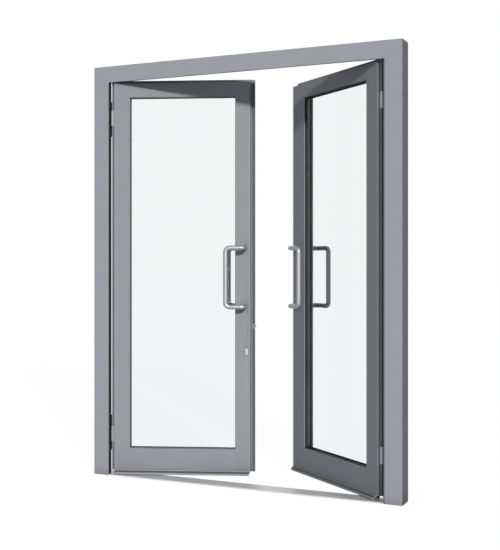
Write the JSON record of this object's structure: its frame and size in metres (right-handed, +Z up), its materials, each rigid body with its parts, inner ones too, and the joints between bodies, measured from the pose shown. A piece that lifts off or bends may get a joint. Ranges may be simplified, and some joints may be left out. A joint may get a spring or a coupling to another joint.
{
  "type": "glazed double door",
  "caption": "Glazed double door with its frame: two metal-framed leaves on side hinges swing inwards, with bent bar handles, a lock and flush bolts.",
  "frame": {"origin": "middle of the frame's underside, halfway through its depth, on the floor", "axes": "+Z up; +Y from the outside to the inside, the way the leaves swing; +X to the right seen from outside"},
  "size_m": [1.67, 0.548, 2.15],
  "materials": {
    "frame_paint": "satin grey powder coat",
    "leaf_paint": "satin grey powder coat",
    "threshold_metal": "plain drawn",
    "black_rubber": "matt",
    "cast_metal": "cast",
    "plain_steel": "zinc plated",
    "hinge_dark_paint": "satin dark grey",
    "hinge_light_metal": "satin anodised",
    "nickel": "satin nickel",
    "plug_brass": "satin",
    "grey_plastic": "matt",
    "clear_glass": "clear float",
    "spacer_metal": "mill",
    "drip_metal": "satin grey powder coat",
    "brush_pile": "dense pile",
    "handle_steel": "satin ground"
  },
  "bodies": {
    "frame": {"left_jamb": "frame_paint", "right_jamb": "frame_paint", "head": "frame_paint", "threshold": "threshold_metal", "frame_gasket": "black_rubber", "frame_corner_cleats": "cast_metal", "bolt_keeps": "plain_steel", "left_upper_frame_hinge": "hinge_dark_paint", "left_lower_frame_hinge": "hinge_dark_paint", "right_upper_frame_hinge": "hinge_dark_paint", "right_lower_frame_hinge": "hinge_dark_paint", "hinge_pins": "plain_steel", "frame_hinge_screws": "plain_steel"},
    "left_leaf": {"left_hinge_stile": "leaf_paint", "left_meeting_stile": "leaf_paint", "left_top_rail": "leaf_paint", "left_bottom_rail": "leaf_paint", "left_corner_cleats": "cast_metal", "left_stile_caps": "grey_plastic", "left_glass_panes": "clear_glass", "left_glass_spacer": "spacer_metal", "left_glazing_gaskets": "black_rubber", "left_glazing_beads": "leaf_paint", "left_drip_bar": "drip_metal", "left_bottom_brush": "brush_pile", "left_outer_handle": "handle_steel", "left_inner_handle": "handle_steel", "left_handle_studs": "plain_steel", "left_upper_leaf_hinge": "hinge_light_metal", "left_lower_leaf_hinge": "hinge_light_metal", "left_hinge_screws": "plain_steel", "lock_case": "plain_steel", "lock_faceplate": "plain_steel", "lock_cylinder": "nickel", "meeting_gasket": "black_rubber"},
    "right_leaf": {"right_hinge_stile": "leaf_paint", "right_meeting_stile": "leaf_paint", "right_top_rail": "leaf_paint", "right_bottom_rail": "leaf_paint", "right_corner_cleats": "cast_metal", "right_stile_caps": "grey_plastic", "right_glass_panes": "clear_glass", "right_glass_spacer": "spacer_metal", "right_glazing_gaskets": "black_rubber", "right_glazing_beads": "leaf_paint", "right_drip_bar": "drip_metal", "right_bottom_brush": "brush_pile", "right_outer_handle": "handle_steel", "right_inner_handle": "handle_steel", "right_handle_studs": "plain_steel", "right_upper_leaf_hinge": "hinge_light_metal", "right_lower_leaf_hinge": "hinge_light_metal", "right_hinge_screws": "plain_steel", "strike_plate": "plain_steel"},
    "cylinder_plug": {"cylinder_plug": "plug_brass"},
    "deadbolt": {"deadbolt": "plain_steel"},
    "roller_latch": {"roller_latch": "plain_steel"},
    "top_flush_bolt": {"top_flush_bolt": "plain_steel"},
    "bottom_flush_bolt": {"bottom_flush_bolt": "plain_steel"}
  },
  "joints": [
    {"name": "left_leaf_swing", "type": "hinge", "parent": "frame", "child": "left_leaf", "pos_m": [-0.761, 0.016, 1.05], "axis": [0, 0, 1], "range_deg": [-20.1, 69.9]},
    {"name": "right_leaf_swing", "type": "hinge", "parent": "frame", "child": "right_leaf", "pos_m": [0.761, 0.016, 1.05], "axis": [0, 0, -1], "range_deg": [-37.4, 52.6]},
    {"name": "cylinder_plug_turn", "type": "hinge", "parent": "left_leaf", "child": "cylinder_plug", "pos_m": [-0.07236, 0.22754, 0.6625], "axis": [-0.3437, 0.9391, 0], "range_deg": [0, 360]},
    {"name": "deadbolt_slide", "type": "slide", "parent": "left_leaf", "child": "deadbolt", "axis": [0.9391, 0.3437, 0], "range_m": [0, 0.02]},
    {"name": "roller_latch_slide", "type": "slide", "parent": "left_leaf", "child": "roller_latch", "axis": [0.9391, 0.3437, 0], "range_m": [-0.006, 0], "stiffness_N_per_m": 500, "springref_m": 0.005},
    {"name": "top_flush_bolt_slide", "type": "slide", "parent": "right_leaf", "child": "top_flush_bolt", "axis": [0, 0, 1], "range_m": [0, 0.015]},
    {"name": "bottom_flush_bolt_slide", "type": "slide", "parent": "right_leaf", "child": "bottom_flush_bolt", "axis": [0, 0, -1], "range_m": [0, 0.025]}
  ],
  "couplings": [
    {"joint": "cylinder_plug_turn", "follows": "deadbolt_slide", "rad_per_m": 314.16}
  ]
}
